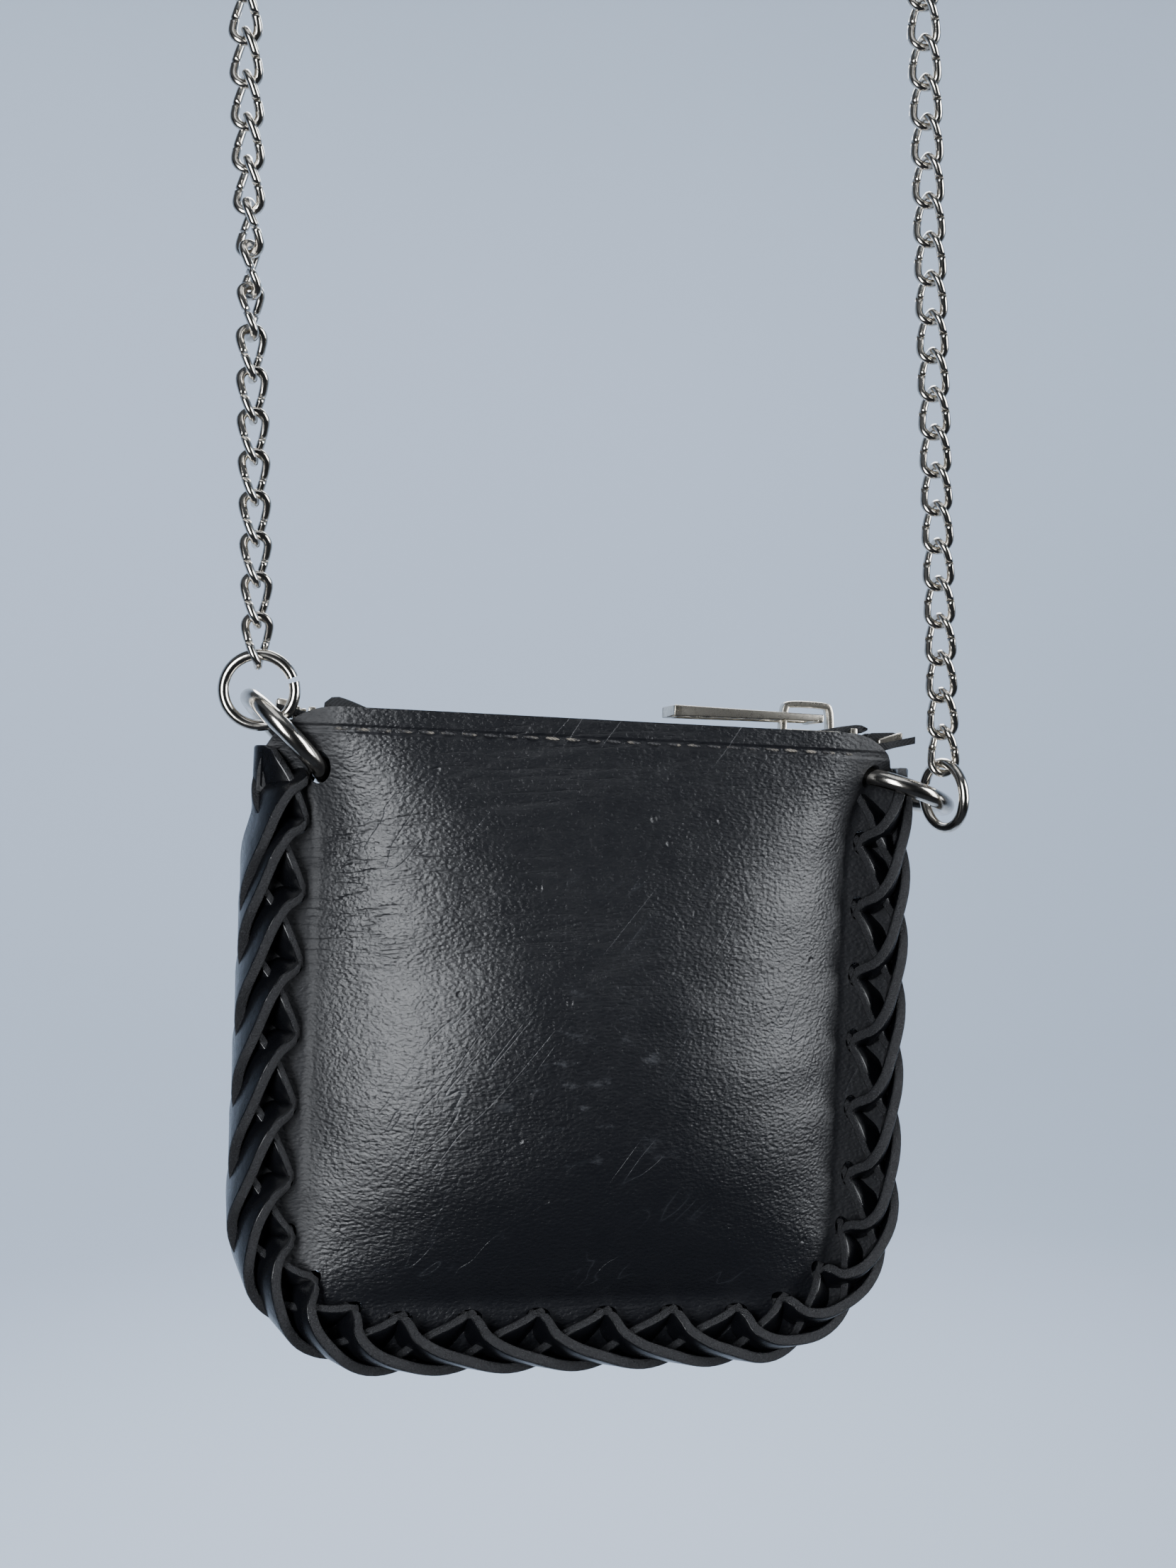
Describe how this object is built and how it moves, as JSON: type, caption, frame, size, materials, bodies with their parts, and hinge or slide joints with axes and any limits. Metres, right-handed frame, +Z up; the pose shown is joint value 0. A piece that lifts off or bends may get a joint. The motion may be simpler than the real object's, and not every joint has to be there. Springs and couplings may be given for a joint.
{
  "type": "chain wallet",
  "caption": "Flat zipped leather pouch with a wide cross-laced edge, hanging from a curb-chain strap through split and welded rings.",
  "frame": {"origin": "the underside-to-topside middle of the strap's top link, where the strap is held up", "axes": "+Z up along the hanging strap, +Y out of the pouch's back, -Y out of its front, +X towards the end of the zip where the slider is when closed"},
  "size_m": [0.128, 0.0296, 0.2915],
  "materials": {
    "leather": "semi-gloss pebbled black leather",
    "lacing": "smooth glossy black leather strip, raw cut edges slightly lighter",
    "zip_tape": "woven black polyester tape",
    "zip_teeth": "nickel-plated metal teeth",
    "zip_hardware": "polished nickel plate",
    "ring_nickel": "polished nickel-plated steel wire",
    "chain_nickel": "polished nickel-plated steel links",
    "thread": "bonded black thread"
  },
  "bodies": {
    "strap_top": {"top_links_1": "chain_nickel", "top_links_2": "chain_nickel", "top_links_3": "chain_nickel", "top_links_4": "chain_nickel", "top_links_5": "chain_nickel", "top_links_6": "chain_nickel", "top_links_7": "chain_nickel"},
    "strap_carrier": {"carrier_link_left": "chain_nickel", "carrier_link_right": "chain_nickel"},
    "left_strand": {"left_link_01": "chain_nickel", "left_link_02": "chain_nickel", "left_link_03": "chain_nickel", "left_link_04": "chain_nickel", "left_link_05": "chain_nickel", "left_link_06": "chain_nickel", "left_link_07": "chain_nickel", "left_link_08": "chain_nickel", "left_link_09": "chain_nickel", "left_link_10": "chain_nickel", "left_link_11": "chain_nickel", "left_link_12": "chain_nickel", "left_link_13": "chain_nickel", "left_link_14": "chain_nickel", "left_link_15": "chain_nickel"},
    "right_strand": {"right_link_01": "chain_nickel", "right_link_02": "chain_nickel", "right_link_03": "chain_nickel", "right_link_04": "chain_nickel", "right_link_05": "chain_nickel", "right_link_06": "chain_nickel", "right_link_07": "chain_nickel", "right_link_08": "chain_nickel", "right_link_09": "chain_nickel", "right_link_10": "chain_nickel", "right_link_11": "chain_nickel", "right_link_12": "chain_nickel", "right_link_13": "chain_nickel", "right_link_14": "chain_nickel", "right_link_15": "chain_nickel"},
    "left_jump_ring": {"jump_ring_left": "ring_nickel"},
    "right_jump_ring": {"jump_ring_right": "ring_nickel"},
    "pouch": {"front_panel": "leather", "back_panel": "leather", "edge_lace": "lacing", "zip_tape_front": "zip_tape", "zip_tape_back": "zip_tape", "zip_teeth_front": "zip_teeth", "zip_teeth_back": "zip_teeth", "zip_top_stop_front": "zip_hardware", "zip_top_stop_back": "zip_hardware", "zip_bottom_stop": "zip_hardware", "seam_thread_front": "thread", "seam_thread_back": "thread"},
    "left_strap_ring": {"strap_ring_left": "ring_nickel"},
    "right_strap_ring": {"strap_ring_right": "ring_nickel"},
    "slider": {"zip_slider": "zip_hardware"},
    "pull": {"zip_pull": "zip_hardware"}
  },
  "joints": [
    {"name": "strap_swing", "type": "hinge", "parent": "strap_top", "child": "strap_carrier", "pos_m": [0.00025, 0, -0.0739], "axis": [0.9808, 0, -0.1949], "range_deg": [-35, 35]},
    {"name": "strap_sway", "type": "hinge", "parent": "strap_carrier", "child": "left_strand", "pos_m": [-0.05523, 0, -0.06925], "axis": [0, 1, 0], "range_deg": [-10, 10]},
    {"name": "right_strand_sway", "type": "hinge", "parent": "strap_carrier", "child": "right_strand", "pos_m": [0.05573, 0, -0.09124], "axis": [0, 1, 0], "range_deg": [-10.14, 10.14]},
    {"name": "left_ring_level", "type": "hinge", "parent": "left_strand", "child": "left_jump_ring", "pos_m": [-0.05739, 0, -0.16438], "axis": [0, 1, 0], "range_deg": [-9.67, 9.67]},
    {"name": "right_ring_level", "type": "hinge", "parent": "right_strand", "child": "right_jump_ring", "pos_m": [0.05789, 0, -0.18637], "axis": [0, 1, 0], "range_deg": [-9.76, 9.76]},
    {"name": "pouch_swing", "type": "hinge", "parent": "left_jump_ring", "child": "pouch", "pos_m": [-0.05774, 0, -0.17106], "axis": [0.9834, 0, -0.1813], "range_deg": [-24, 12]},
    {"name": "left_strap_ring_turn", "type": "hinge", "parent": "pouch", "child": "left_strap_ring", "pos_m": [-0.04775, 0.00392, -0.18321], "axis": [-0.0257, 0.9945, -0.1011], "range_deg": [0, 8]},
    {"name": "right_strap_ring_turn", "type": "hinge", "parent": "pouch", "child": "right_strap_ring", "pos_m": [0.04402, 0.00587, -0.18736], "axis": [-0.0257, 0.9945, -0.1011], "range_deg": [-8, 0]},
    {"name": "zip_slide", "type": "slide", "parent": "pouch", "child": "slider", "axis": [-0.9959, -0.0167, 0.0884], "range_m": [0, 0.062]},
    {"name": "pull_turn", "type": "hinge", "parent": "slider", "child": "pull", "pos_m": [0.03643, 0.00666, -0.1777], "axis": [-0.0257, 0.9945, -0.1011], "range_deg": [0, 165]}
  ],
  "couplings": [
    {"joint": "right_strand_sway", "follows": "strap_sway", "ratio": 1.0087},
    {"joint": "left_ring_level", "follows": "strap_sway", "ratio": -0.96234},
    {"joint": "right_ring_level", "follows": "strap_sway", "ratio": -0.97105}
  ]
}
